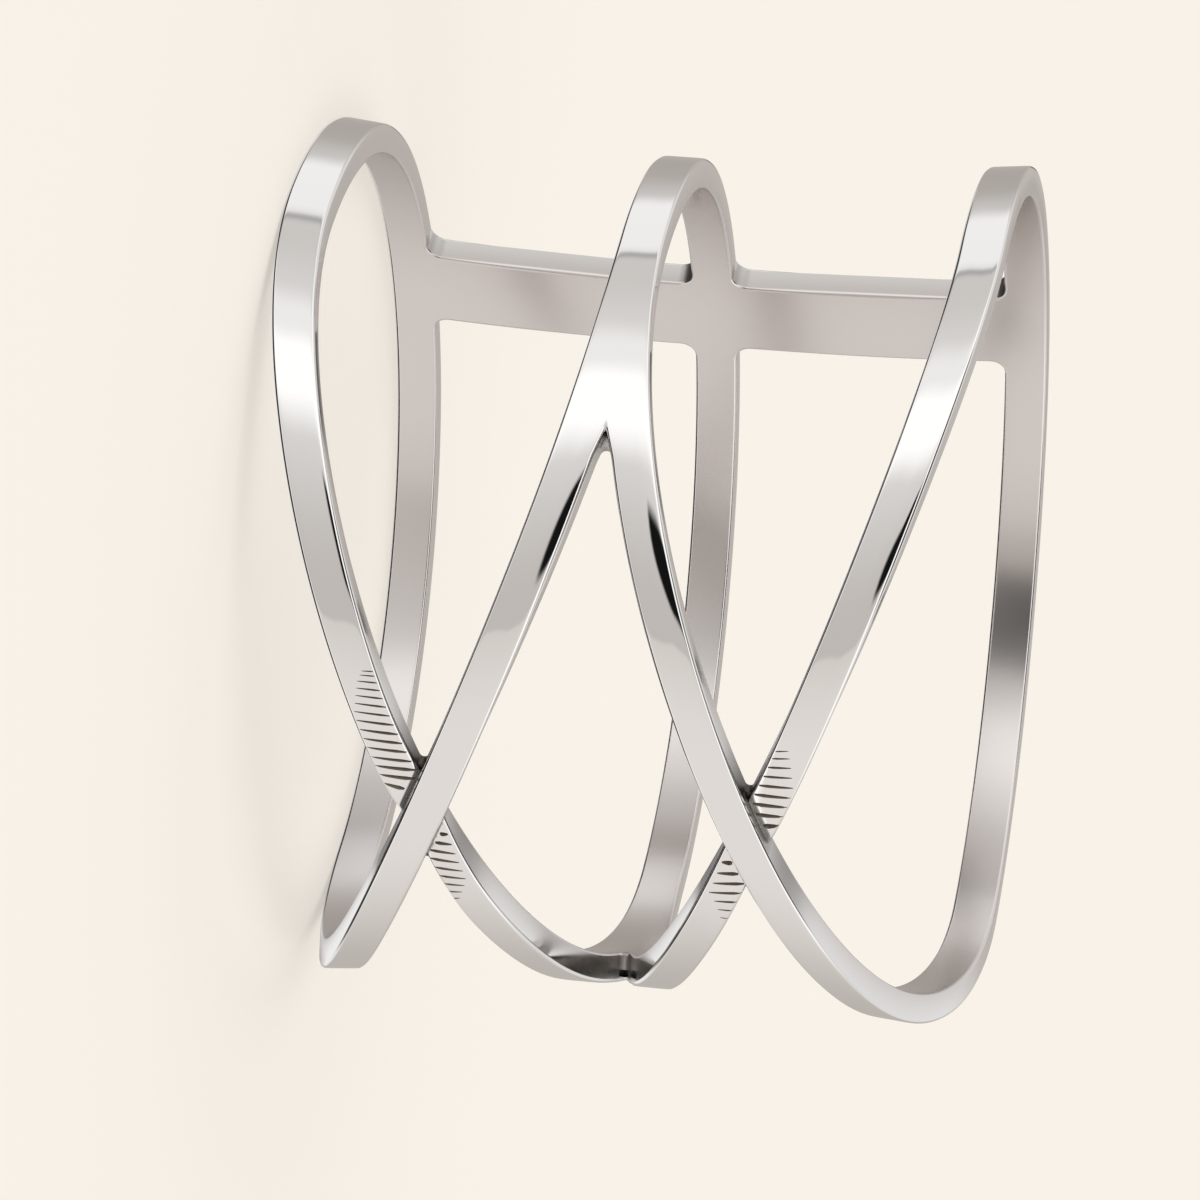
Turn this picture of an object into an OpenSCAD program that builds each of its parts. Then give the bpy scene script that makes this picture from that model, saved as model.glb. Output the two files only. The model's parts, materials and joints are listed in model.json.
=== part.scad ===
// Multi-band openwork finger ring, cast in one piece.
// Three parallel hoops run round the back and are tied there by one bar.
// Over the front they open into four flat strands that cross twice, one over
// the other, and meet the middle hoop in a narrow Y at each side.
// The ring stands on one end: +Z is the axis of the finger hole, the crossings
// face -Y, and z = 0 is the plane of the lower hoop's end face.

/* [Finger hole] */
// Diameter of the finger hole at its waist
finger_d = 17.3; // [15:0.1:21]
// Half length of the straight waist of the hole
waist_half = 1.2; // [0.8:0.1:2]
// Growth of the radius from the waist out to the middle of an end hoop
flare = 0.31; // [0.1:0.01:0.6]

/* [Metal] */
// Thickness of the metal, measured away from the finger
metal_t = 0.68; // [0.5:0.02:1.2]
// Width of a hoop round the back
hoop_w = 0.97; // [0.8:0.01:1.2]
// Width of a strand at the front, where two of them cross
strand_w = 0.85; // [0.7:0.01:1]

/* [Layout] */
// Distance between the middle hoop and an end hoop
hoop_pitch = 7.33; // [6:0.01:9]
// How far each crossing sits from half way, towards the middle hoop
lean = 0.15; // [0:0.01:0.4]
// Width of the bar across the back
bar_w = 2.11; // [1:0.01:3]
// Place of the bar's centre line round the ring, in degrees from the front
bar_at = 172.9; // [165:0.1:180]
// Radius of the fillets between the bar and the hoops
bar_fillet = 0.36; // [0.1:0.01:0.8]
// Radius in the narrow corners where two strands part from a crossing
corner_r = 0.09; // [0.05:0.01:0.2]
// Radius in the narrow corners where two strands part from the middle hoop
notch_r = 0.15; // [0.05:0.01:0.2]

/* [Crossings] */
// Depth of the dip that takes the lower strand under the upper one
dip = 0.22; // [0.05:0.01:0.4]
// Reach of the dip along the axis, from the edge of the upper strand
dip_reach = 1.7; // [0.8:0.1:2.4]

/* [Smoothness] */
// Step round the ring between the sections of a strand's edge, in degrees
edge_step = 5; // [3:1:10]
// Step round the ring between the sections of a dip, in degrees
dip_step = 3; // [2:1:6]

/* [Hidden] */

quarter = 90;
bore_r = finger_d / 2;
half_len = hoop_pitch + hoop_w / 2;

// Lengths round the ring are measured on the outer face, half way up the flare
face_r = bore_r + metal_t + flare / 2;
deg_per_mm = 180 / (PI * face_r);
bar_half = bar_w / 2 * deg_per_mm;

// Heights from the waist to an end at which the turned wall changes its slope
profile_z = [waist_half, 0.48 * half_len, 0.76 * half_len, half_len];

// A cut starts well inside the finger hole and ends well outside the metal
cut_in = 0.72 * bore_r;
cut_out = 1.16 * (bore_r + metal_t);
// Distance by which a cut runs past an edge into the open space beside it
past = 0.4;
// Step in degrees where an edge runs straight round the ring
straight_step = 24;
// Sections in a fillet and in a narrow corner, and points across a dip's floor
fillet_n = 5;
corner_n = 4;
dip_n = 5;
// Share of a dip's first slope that is gone where its floor runs out at the face
dip_ease = 0.65;
// Distance at which a dip stays clear of the upper strand's edge
dip_clear = 0.02;
// Distance below the end face at which the cut beside a strand runs out
end_drop = 0.06;

// Point at an angle round the ring from its front, a radius and a height
function at(a, r, z) = [-r * sin(a), -r * cos(a), z];

// Angles from lo to hi in even steps
function angles(lo, hi, step) =
    let (n = ceil((hi - lo) / step)) [for (i = [0 : n]) lo + (hi - lo) * i / n];

// Growth of the wall's radius at a height above or below the waist
function flare_at(z) =
    flare * pow(max(0, abs(z) - waist_half) / (hoop_pitch - waist_half), 2);

// The same growth on the turned wall, which is straight between its stations
function wall_flare(z) = lookup(abs(z), [for (s = profile_z) [s, flare_at(s)]]);

// How far a strand has swung over: 0 in front, and 1 or -1 from the sides on
function swing(a) = abs(a) < quarter ? sin(a) : sign(a);

// 1 in front and 0 from the sides on, where the strands have become hoops
function front(a) = abs(a) < quarter ? cos(a) : 0;

// The same for the lean, which holds nearly full until a strand nears its hoop
function lean_share(a) = 1 - pow(swing(a), 6);

// Half the width of a strand, measured along the axis
function reach(a) =
    (hoop_w - (hoop_w - strand_w) * front(a)) / 2
    * sqrt(1 + pow(hoop_pitch / 2 * front(a) / face_r, 2));

// The two strands of the lower half are mirror images about this height
function gap_mid(a) = -hoop_pitch / 2 + lean * lean_share(a);

// Half the open gap between them, which is negative where they cross
function gap_half(a) = hoop_pitch / 2 * swing(abs(a)) - reach(a);

// Lowest edge of the lower half's strands
function outer_edge(a) = gap_mid(a) - gap_half(a) - 2 * reach(a);

// Half the open gap between the lower and the upper half, in the diamond
function diamond_half(a) = -(gap_mid(a) + gap_half(a) + 2 * reach(a));

// Angle at which a window's gap opens, and at which the diamond's gap closes
function window_opens(lo, hi, n = 24) =
    let (mid = (lo + hi) / 2)
    n == 0 ? mid
    : gap_half(mid) > 0 ? window_opens(lo, mid, n - 1) : window_opens(mid, hi, n - 1);
function diamond_closes(lo, hi, n = 24) =
    let (mid = (lo + hi) / 2)
    n == 0 ? mid
    : diamond_half(mid) > 0 ? diamond_closes(mid, hi, n - 1)
    : diamond_closes(lo, mid, n - 1);

window_tip = window_opens(0, quarter);
diamond_tip = diamond_closes(0, quarter);

// Half the angle in those two corners, from how fast the gap grows round the ring
window_corner = atan(gap_half(window_tip + 1) * deg_per_mm);
diamond_corner = atan(diamond_half(diamond_tip - 1) * deg_per_mm);

// A narrow corner's rounding, each step a turn round the ring from the corner's
// point and half the open gap there
function corner(half_angle, r) =
    [for (i = [1 : corner_n])
        let (turn = (quarter - half_angle) * i / corner_n)
        [(r / sin(half_angle) - r * cos(turn)) * deg_per_mm, r * sin(turn)]];

// Width that a fillet adds to a hoop's edge at a distance from the bar
function fillet(d) = bar_fillet - sqrt(pow(bar_fillet, 2) - pow(bar_fillet - d, 2));

// A cut's section at an angle: a rectangle between two heights
function cut_section(a, low, high) =
    [at(a, cut_in, low), at(a, cut_in, high), at(a, cut_out, high), at(a, cut_out, low)];

// Sections of a window, from its narrow corner back to the near edge of the bar
function window_sections(bar_edge) =
    let (tip = [for (s = corner(window_corner, corner_r)) [window_tip + s[0], s[1]]],
         first = tip[corner_n - 1][0] + edge_step / 2,
         span = bar_fillet * deg_per_mm,
         last = bar_edge - span,
         side = concat(angles(first, quarter, edge_step),
                       angles(quarter + straight_step, last, straight_step)),
         root = [for (i = [1 : fillet_n])
                    let (a = last + span * sin(quarter * i / fillet_n))
                    [a, gap_half(a) - fillet((bar_edge - a) / deg_per_mm)]])
    [for (s = concat(tip, [for (a = side) [a, gap_half(a)]], root))
        cut_section(s[0], gap_mid(s[0]) - s[1], gap_mid(s[0]) + s[1])];

// Sections of the diamond, from its narrow corner on one side to the other
function diamond_sections() =
    let (tip = [for (s = corner(diamond_corner, notch_r)) [diamond_tip - s[0], s[1]]],
         last = tip[corner_n - 1][0] - edge_step / 2,
         side = concat([for (a = angles(0, last, edge_step)) [a, diamond_half(a)]],
                       [for (i = [corner_n - 1 : -1 : 0]) tip[i]]),
         n = len(side) - 1)
    [for (i = [-n : n])
        let (s = side[abs(i)])
        cut_section(sign(i) * s[0], -s[1], s[1])];

// Sections of the cut that frees a strand from the end plane, side to side
function end_sections() =
    let (edge = [for (a = angles(0, quarter - edge_step, edge_step)) [a, outer_edge(a)]],
         side = concat(edge, [[quarter + edge_step, -half_len - end_drop]]),
         n = len(side) - 1)
    [for (i = [-n : n])
        let (s = side[abs(i)])
        cut_section(sign(i) * s[0], -half_len - past, s[1])];

// Depth of a dip at a distance along the axis from the upper strand's edge, which
// is negative past the dip's reach
function dip_depth(d) =
    let (q = d / dip_reach) dip * (1 - q) * (1 - dip_ease * min(1, q));

// Section of a dip at an angle, from the upper strand's edge across the lower
// strand: way is -1 where the lower strand lies below that edge, 1 where above
function dip_section(a, way) =
    let (edge = gap_mid(a) - way * gap_half(a),
         near = gap_mid(a) - way * (min(0, gap_half(a)) - dip_clear),
         far = gap_mid(a) + way * (gap_half(a) + 2 * reach(a) + past),
         floor_z = [for (k = [0 : dip_n - 1]) near + (far - near) * k / (dip_n - 1)],
         rising = way > 0 ? floor_z : [for (k = [dip_n - 1 : -1 : 0]) floor_z[k]])
    concat([for (z = rising)
               at(a, bore_r + metal_t + wall_flare(z) - dip_depth(way * (z - edge)), z)],
           [at(a, cut_out, max(near, far)), at(a, cut_out, min(near, far))]);

// Angle by which the lower strand lies wholly past the dip's reach
dip_end = asin((1.3 * dip_reach + hoop_w) / hoop_pitch);

function dip_sections(way) =
    [for (a = angles(0, dip_end, dip_step)) dip_section(a, way)];

// Solid skinned over sections that all have the same number of points
module skin(sections) {
    n = len(sections[0]);
    last = len(sections) - 1;
    polyhedron(
        points = [for (s = sections) each s],
        faces = concat(
            [[for (k = [n - 1 : -1 : 0]) k]],
            [for (i = [0 : last - 1], k = [0 : n - 1])
                let (a = i * n + k, b = i * n + (k + 1) % n)
                each [[a, b, b + n], [a, b + n, a + n]]],
            [[for (k = [0 : n - 1]) last * n + k]]),
        convexity = 6);
}

// The turned wall that the whole ring is cut from, with its waist at z = 0
module wall() {
    n = len(profile_z);
    side = concat(
        [for (i = [n - 1 : -1 : 0]) [bore_r + flare_at(profile_z[i]), -profile_z[i]]],
        [for (z = profile_z) [bore_r + flare_at(z), z]]);
    rotate_extrude($fn = 180)
        polygon(concat(side, [for (i = [2 * n - 1 : -1 : 0]) side[i] + [metal_t, 0]]));
}

// The two windows between the lower end hoop and the middle hoop
module windows() {
    skin(window_sections(bar_at - bar_half));
    mirror([1, 0, 0]) skin(window_sections(360 - bar_at - bar_half));
}

// The open space in front, between the two crossings
module diamond() {
    skin(diamond_sections());
}

// The open space beside the crossing, up from the end plane
module end_cut() {
    skin(end_sections());
}

// The dips that take the lower strand of a crossing under the upper one
module dips() {
    skin(dip_sections(-1));
    mirror([1, 0, 0]) skin(dip_sections(1));
}

// The ring, whose upper half is the mirror image of its lower half
module ring() {
    color("silver")
    translate([0, 0, half_len])
    difference() {
        wall();
        diamond();
        for (upper = [0, 1])
            mirror([0, 0, upper]) {
                windows();
                end_cut();
                dips();
            }
    }
}

ring();
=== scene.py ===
"""Visual model of an openwork finger ring: one polished casting, engraved at its crossings.

The ring is laid out flat first, as its outer wall developed into a sheet: x runs along the
finger, y round the ring and z through the metal, all in millimetres. The sheet is cut to
the bands' outlines and given their rounded edges and dips. Geometry nodes wrap it round
the finger hole and lay out the engraved lines.
"""
import json
import logging
import math
from abc import ABC, abstractmethod
from dataclasses import dataclass, field
from enum import Enum
from functools import cached_property, partial
from typing import Any, Callable

import bmesh
import bpy
import numpy as np
from mathutils import Matrix, Vector
from mathutils.geometry import delaunay_2d_cdt


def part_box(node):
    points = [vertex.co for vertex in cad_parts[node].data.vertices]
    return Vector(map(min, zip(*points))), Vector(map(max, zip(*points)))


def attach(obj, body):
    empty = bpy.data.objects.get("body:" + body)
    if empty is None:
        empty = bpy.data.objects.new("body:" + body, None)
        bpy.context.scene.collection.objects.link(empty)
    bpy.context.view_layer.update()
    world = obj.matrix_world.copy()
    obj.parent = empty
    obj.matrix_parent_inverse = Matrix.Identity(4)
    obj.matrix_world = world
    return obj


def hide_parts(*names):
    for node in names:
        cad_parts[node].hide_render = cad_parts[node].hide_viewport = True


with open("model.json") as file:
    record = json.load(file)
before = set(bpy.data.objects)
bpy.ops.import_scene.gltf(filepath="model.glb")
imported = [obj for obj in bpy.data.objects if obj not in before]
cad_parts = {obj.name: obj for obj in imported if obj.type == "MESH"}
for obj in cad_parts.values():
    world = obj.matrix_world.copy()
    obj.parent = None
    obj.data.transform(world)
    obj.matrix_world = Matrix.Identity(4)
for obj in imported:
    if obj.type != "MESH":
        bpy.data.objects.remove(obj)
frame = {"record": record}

log = logging.getLogger("ring")

Array = np.ndarray
Keep = Callable[[Array, Array], Array]
MM = 0.001


# Sizes

# Halvings in a search for an angle
HALVINGS = 40
# Angles in degrees between which the middle hoop's notches lie
NOTCH_BETWEEN = (30, 80)


@dataclass(frozen=True)
class RingSizes:
    """Driving sizes of the ring in millimetres and degrees.

    They are the CAD source's. Only the middle hoop's notches are a little sharper here, and
    their narrow ends are filled with solder.
    """

    bore_r: float
    half_len: float
    metal_t: float = 0.68
    hoop_w: float = 0.97
    strand_w: float = 0.85
    waist_half: float = 1.2
    flare: float = 0.31
    lean: float = 0.15
    bar_w: float = 2.11
    bar_at: float = 172.9
    bar_fillet: float = 0.36
    window_r: float = 0.09
    notch_r: float = 0.13
    notch_fill: float = 0.33
    notch_spread: float = 0.31
    notch_reach: float = 1.6
    dip: float = 0.22
    dip_reach: float = 1.7

    @property
    def pitch(self) -> float:
        """Distance between the middle hoop and an end hoop."""
        return self.half_len - self.hoop_w / 2

    @property
    def face_r(self) -> float:
        """Radius at which lengths round the ring are measured."""
        return self.bore_r + self.metal_t + self.flare / 2

    def along(self, degrees: Array) -> Array:
        """Length round the ring for an angle from its front."""
        return np.radians(degrees) * self.face_r

    def angle(self, y: Array) -> Array:
        """Angle from the ring's front for a length round it."""
        return np.degrees(np.asarray(y) / self.face_r)

    def swing(self, a: Array) -> Array:
        """Share of a strand's way to its hoop: 0 in front, 1 or -1 from the sides on."""
        return np.where(np.abs(a) < 90, np.sin(np.radians(a)), np.sign(a))

    def front(self, a: Array) -> Array:
        """1 in front and 0 from the sides on, where the strands have become hoops."""
        return np.where(np.abs(a) < 90, np.cos(np.radians(a)), 0.0)

    def reach(self, a: Array) -> Array:
        """Half the width of a strand, measured along the finger."""
        front = self.front(a)
        return ((self.hoop_w - (self.hoop_w - self.strand_w) * front) / 2
                * np.sqrt(1 + (self.pitch / 2 * front / self.face_r) ** 2))

    def gap_mid(self, a: Array) -> Array:
        """Height about which the two strands of the lower half are mirror images."""
        return -self.pitch / 2 + self.lean * (1 - self.swing(a) ** 6)

    def gap_half(self, a: Array) -> Array:
        """Half the open gap between those strands, negative where they cross."""
        return self.pitch / 2 * self.swing(np.abs(a)) - self.reach(a)

    def plain_diamond(self, a: Array) -> Array:
        """Half the gap between the lower and the upper half in front, by the strands alone."""
        return -(self.gap_mid(a) + self.gap_half(a) + 2 * self.reach(a))

    @cached_property
    def notch_at(self) -> float:
        """Angle at which that gap closes."""
        return solve(lambda a: -float(self.plain_diamond(a)), *NOTCH_BETWEEN)

    def diamond_half(self, a: Array) -> Array:
        """Half the open gap there, whose narrow end is filled with solder a little way.

        Args:
            a: Angles from the ring's front.

        Returns:
            Half the width of the gap at each.
        """
        plain = self.plain_diamond(a)
        inward = self.along(self.notch_at - np.abs(a))
        filled = self.notch_spread * (inward - self.notch_fill)
        return np.where(inward < self.notch_reach, np.minimum(plain, filled), plain)

    @staticmethod
    def load(record: dict[str, Any]) -> "RingSizes":
        """Take the hole's radius and the ring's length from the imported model.

        Args:
            record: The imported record, with its mounts.

        Returns:
            The sizes of this ring.
        """
        low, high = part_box("ring")
        bore = next(m for m in record["mounts"] if m["name"] == "finger_bore")
        return RingSizes(bore["dims"]["r_mm"], round((high.z - low.z) / 2 / MM, 4))


def solve(value: Callable[[float], float], low: float, high: float) -> float:
    """Find by halving where a value changes its sign.

    Args:
        value: Function that is negative at low and positive at high.
        low: Lower end of the search.
        high: Upper end of the search.

    Returns:
        The place of the change.
    """
    for _ in range(HALVINGS):
        middle = (low + high) / 2
        low, high = (low, middle) if value(middle) > 0 else (middle, high)
    return (low + high) / 2


# Members of the casting, on the flat sheet

# Radius that polishing leaves on every outer edge
EDGE_R = 0.072
# The buff also rolls a flat face over along its edges: slope at the edge, and reach
LIP_SLOPE = 0.5
LIP_REACH = 0.13
# Crown of a face towards an edge: slope at the edge, and reach
CROWN_SLOPE = 0.05
CROWN_REACH = 0.30
# Depth of a plain edge below the face
EDGE_DROP = EDGE_R + LIP_SLOPE * LIP_REACH / 3 + CROWN_SLOPE * CROWN_REACH / 2
# Angle at which the strands are crowned most, and how far round that is felt
CROWN_AT = 41.0
CROWN_SPREAD = 11.0
# Distance from the middle of the ring over which the crowns fade
MEET = 0.25
# The engraver deepens the lower strand right beside the upper one: depth and reach
SCOOP_DEPTH = 0.035
SCOOP_REACH = 0.30
# Distance beside an edge at which the wall of a step stands, and slack in tests
FOOT = 0.012
NEAR = 0.003
# Inset where a member isn't, and half the turn in degrees over which a slant is measured
OUTSIDE = -9.0
TURN = 0.01
# Room that a web's test leaves past its tip and its mouth, in degrees, and beside its round
WEB_PAST = (0.3, 0.05, 0.1)


class Level(Enum):
    """Place of a strand where it crosses another."""

    OVER = "over"
    UNDER = "under"


class Member(ABC):
    """A part of the casting with its own outline, whose top is level or lowered."""

    @abstractmethod
    def inset(self, x: Array, y: Array) -> Array:
        """Distance in from the member's edge, OUTSIDE where the member isn't."""

    @abstractmethod
    def outward(self, x: Array, y: Array) -> Array:
        """Unit vectors on the sheet that point to the nearest edge."""

    def lowered(self, x: Array, y: Array) -> Array:
        """Depth of the member's face below the ring's outer wall."""
        return np.zeros_like(x)

    def crown(self, x: Array, y: Array) -> tuple[Array, Array]:
        """Slope of the crown at the nearer edge, and its reach."""
        return np.full_like(x, CROWN_SLOPE), np.full_like(x, CROWN_REACH)

    def drop(self, x: Array, y: Array) -> Array:
        """Depth of the member's top below the outer wall, with edge, lip and crown.

        Args:
            x, y: Places along the finger and round the ring.

        Returns:
            The depth at each place.
        """
        d = self.inset(x, y)
        slope, reach = self.crown(x, y)
        edge = np.clip(1 - d / EDGE_R, 0, 1)
        lip = np.clip(1 - d / LIP_REACH, 0, 1)
        crown = np.clip(1 - d / reach, 0, 1)
        return (self.lowered(x, y) + EDGE_R * (1 - np.sqrt(1 - edge ** 2))
                + LIP_SLOPE * LIP_REACH / 3 * lip ** 3 + slope * reach / 2 * crown ** 2)

    def depth(self, x: Array, y: Array) -> Array:
        """Depth of the member's top, and far down where the member isn't."""
        return np.where(self.inset(x, y) > -NEAR, self.drop(x, y), -OUTSIDE)

    def facing(self, x: Array, y: Array) -> Array:
        """Directions in which the member's top faces, not yet unit vectors.

        Args:
            x, y: Places along the finger and round the ring.

        Returns:
            One vector for each place, on the flat sheet.
        """
        d = self.inset(x, y)
        slope, reach = self.crown(x, y)
        edge = np.clip(1 - d / EDGE_R, 0, 1)
        roll = LIP_SLOPE * np.clip(1 - d / LIP_REACH, 0, 1) ** 2
        roll += slope * np.clip(1 - d / reach, 0, 1)
        rise = np.sqrt(1 - edge ** 2)
        flat = self.outward(x, y) * (edge + roll * rise)[:, None]
        flat[:, 0] += rise * (self.lowered(x + NEAR, y) - self.lowered(x - NEAR, y)) / (2 * NEAR)
        flat[:, 1] += rise * (self.lowered(x, y + NEAR) - self.lowered(x, y - NEAR)) / (2 * NEAR)
        return np.column_stack([flat, rise])


@dataclass(frozen=True)
class Strand(Member):
    """A band that is an end hoop on one side of the ring and the middle hoop on the other."""

    sizes: RingSizes
    side: int
    level: Level
    left_crown: tuple[float, float]
    right_crown: tuple[float, float]
    over: "Strand | None" = None

    def middle(self, a: Array) -> Array:
        """Place of the centre line along the finger, at an angle."""
        s, swing = self.sizes, self.sizes.swing(a)
        return s.lean * (1 - swing ** 6) - s.pitch / 2 * (1 + self.side * swing)

    def slope(self, a: Array) -> Array:
        """Slant of the centre line."""
        return (self.middle(a + TURN) - self.middle(a - TURN)) / (2 * self.sizes.along(TURN))

    def cosine(self, a: Array) -> Array:
        """Cosine of the slant."""
        return 1 / np.sqrt(1 + self.slope(a) ** 2)

    def row(self, a: Array, side: int, inset: float) -> Array:
        """Line along the strand at a distance in from one edge.

        Args:
            a: Angles of its points.
            side: -1 for the left edge, 1 for the right edge and 0 for the centre line.
            inset: Distance in from that edge.

        Returns:
            Points of the line on the sheet.
        """
        s = self.sizes
        x = self.middle(a) + side * (s.reach(a) - inset / self.cosine(a))
        if side > 0:
            x = x + self.filled(a)
        return np.column_stack([x, s.along(a)])

    def filled(self, a: Array) -> Array:
        """Width that the filled end of the notch adds to the strand's right edge."""
        s = self.sizes
        return np.where(a * self.side < 0, s.plain_diamond(a) - s.diamond_half(a), 0.0)

    def sides(self, x: Array, y: Array) -> tuple[Array, Array]:
        """Distances in from both edges.

        Args:
            x, y: Places along the finger and round the ring.

        Returns:
            The distances from the left edge, and from the right edge.
        """
        a = self.sizes.angle(y)
        across, reach, cosine = x - self.middle(a), self.sizes.reach(a), self.cosine(a)
        return (reach + across) * cosine, (reach + self.filled(a) - across) * cosine

    def inset(self, x: Array, y: Array) -> Array:
        """Distance in from the nearer edge."""
        return np.minimum(*self.sides(x, y))

    def outward(self, x: Array, y: Array) -> Array:
        """Directions to the nearer edge.

        Args:
            x, y: Places along the finger and round the ring.

        Returns:
            Unit vectors on the sheet.
        """
        a = self.sizes.angle(y)
        left, right = self.sides(x, y)
        way = np.where(left < right, -1.0, 1.0) * self.cosine(a)
        return np.column_stack([way, -way * self.slope(a)])

    def crown(self, x: Array, y: Array) -> tuple[Array, Array]:
        """Shape of the crown on the nearer edge's side.

        Args:
            x, y: Places along the finger and round the ring.

        Returns:
            The slope at the edge, and the reach.
        """
        a = self.sizes.angle(y)
        share = np.exp(-((a - CROWN_AT) / CROWN_SPREAD) ** 2)
        left = np.less(*self.sides(x, y))
        full, wide = (np.where(left, low, high)
                      for low, high in zip(self.left_crown, self.right_crown))
        slope = CROWN_SLOPE + (full - CROWN_SLOPE) * share
        # The halves of the ring differ in their crowns and have to meet on the mirror line
        slope = slope * np.clip(-x / MEET, 0, 1)
        return slope, CROWN_REACH + (wide - CROWN_REACH) * share

    def beside(self, x: Array, y: Array) -> Array:
        """Distance out from the nearer edge along the finger, 0 on the strand."""
        a = self.sizes.angle(y)
        return np.maximum(0, np.abs(x - self.middle(a)) - self.sizes.reach(a))

    def lowered(self, x: Array, y: Array) -> Array:
        """Depth of the dip and the scoop beside the strand that passes over this one.

        Args:
            x, y: Places along the finger and round the ring.

        Returns:
            The depth at each place.
        """
        if self.over is None:
            return np.zeros_like(x)
        out = self.over.beside(x, y)
        dip = self.sizes.dip * np.clip(1 - out / self.sizes.dip_reach, 0, 1) ** 2
        left = x < self.over.middle(self.sizes.angle(y))
        return dip + np.where(left, SCOOP_DEPTH * np.clip(1 - out / SCOOP_REACH, 0, 1) ** 2, 0)


@dataclass(frozen=True)
class Bar(Member):
    """The bar across the back, between two hoops."""

    sizes: RingSizes

    @property
    def ends(self) -> tuple[float, float]:
        """Places along the finger of the two hoop edges that it joins."""
        half = self.sizes.hoop_w / 2
        return -self.sizes.pitch + half, -half

    @property
    def sides(self) -> tuple[float, float]:
        """Places round the ring of its two sides."""
        y = float(self.sizes.along(self.sizes.bar_at))
        return y - self.sizes.bar_w / 2, y + self.sizes.bar_w / 2

    def inset(self, x: Array, y: Array) -> Array:
        """Distance in from the nearer side."""
        low, high = self.sides
        return np.where(x > -self.sizes.pitch, np.minimum(y - low, high - y), OUTSIDE)

    def outward(self, x: Array, y: Array) -> Array:
        """Unit vectors to the nearer side."""
        way = np.where(y < sum(self.sides) / 2, -1.0, 1.0)
        return np.column_stack([np.zeros_like(way), way])


class Round(Member):
    """A member whose edge is a stretch of a round hole's rim."""

    centre: Any

    def outward(self, x: Array, y: Array) -> Array:
        """Unit vectors to the centre of the round."""
        d = np.column_stack([self.centre[0] - x, self.centre[1] - y])
        return d / np.maximum(np.hypot(d[:, 0], d[:, 1]), NEAR)[:, None]


@dataclass(frozen=True)
class Fillet(Round):
    """The rounded corner between a hoop and the bar: a quarter of a round hole's rim."""

    centre: tuple[float, float]
    radius: float
    toward: tuple[int, int]

    def arc(self, inset: float, count: int = 8) -> Array:
        """Line along the rim, from the hoop's edge to the bar's.

        Args:
            inset: Distance of the line from the rim, into the metal.
            count: Number of its steps.

        Returns:
            Points of the line on the sheet.
        """
        turn = np.radians(np.linspace(0, 90, count + 1))
        r = self.radius + inset
        return np.column_stack([self.centre[0] + self.toward[0] * r * np.cos(turn),
                                self.centre[1] + self.toward[1] * r * np.sin(turn)])

    def inset(self, x: Array, y: Array) -> Array:
        """Distance out from the rim, in the quarter that the corner fills.

        Args:
            x, y: Places along the finger and round the ring.

        Returns:
            The distance, or OUTSIDE.
        """
        dx, dy = x - self.centre[0], y - self.centre[1]
        inside = (dx * self.toward[0] > -NEAR) & (dy * self.toward[1] > -NEAR)
        d = np.hypot(dx, dy) - self.radius
        return np.where(inside & (d < 2 * CROWN_REACH), d, OUTSIDE)


@dataclass(frozen=True)
class Web(Round):
    """Metal left in a narrow corner where two bands part, rounded and sunk below them."""

    sizes: RingSizes
    tip: float
    half: Callable[[Array], Array]
    mid: Callable[[Array], Array]
    radius: float
    sunk: float
    host: Strand

    @cached_property
    def touch(self) -> float:
        """Angle at which the round touches the bands' edges.

        Returns:
            The angle from the ring's front.
        """
        def spare(turn: float) -> float:
            """Room between the edges, beyond what the round needs."""
            a = self.tip + self.opens * turn
            return float(self.half(a)) * math.sqrt(1 + self.growth(a) ** 2) - self.radius

        return self.tip + self.opens * solve(spare, 0, 30)

    @property
    def opens(self) -> float:
        """1 where the corner opens to larger angles, -1 where it opens to smaller ones."""
        return 1.0 if self.half(self.tip + 1) > self.half(self.tip - 1) else -1.0

    def growth(self, a: float) -> float:
        """Slant of the corner's edges against its middle line."""
        return float(self.half(a + TURN) - self.half(a - TURN)) / (2 * self.sizes.along(TURN))

    @cached_property
    def centre(self) -> tuple[float, float]:
        """Centre of the round.

        Returns:
            Its place along the finger and round the ring.
        """
        a = self.touch
        y = float(self.sizes.along(a)) + self.growth(a) * float(self.half(a))
        return float(self.mid(self.sizes.angle(y))), y

    def inset(self, x: Array, y: Array) -> Array:
        """Distance out from the round, on its narrow side.

        Args:
            x, y: Places along the finger and round the ring.

        Returns:
            The distance, or OUTSIDE.
        """
        cx, cy = self.centre
        a = self.sizes.angle(y)
        low, high = sorted([self.tip - WEB_PAST[0] * self.opens,
                            self.touch + WEB_PAST[1] * self.opens])
        near = (a > low) & (a < high) & (np.abs(x - cx) < self.radius + WEB_PAST[2])
        return np.where(near, np.hypot(x - cx, y - cy) - self.radius, OUTSIDE)

    def lowered(self, x: Array, y: Array) -> Array:
        """Depth below the face of the band that carries it."""
        return self.sunk + self.host.lowered(x, y)

    def drop(self, x: Array, y: Array) -> Array:
        """Depth of the web's plain top."""
        return self.lowered(x, y)

    def facing(self, x: Array, y: Array) -> Array:
        """Upward everywhere."""
        return np.column_stack([np.zeros_like(x), np.zeros_like(x), np.ones_like(x)])


# The flat sheet

# Insets of the lines that follow every edge: the edge, its rounding and the roll-off
ROWS = (0.0, EDGE_R * (1 - math.sqrt(0.5)), EDGE_R, 0.10, LIP_REACH, 0.22, 0.34)
# Insets beyond the upper strand's edge of the lines that shape the scoop
SCOOP_ROWS = (-0.05, -0.11, -0.18, -0.26, -0.34)
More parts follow.
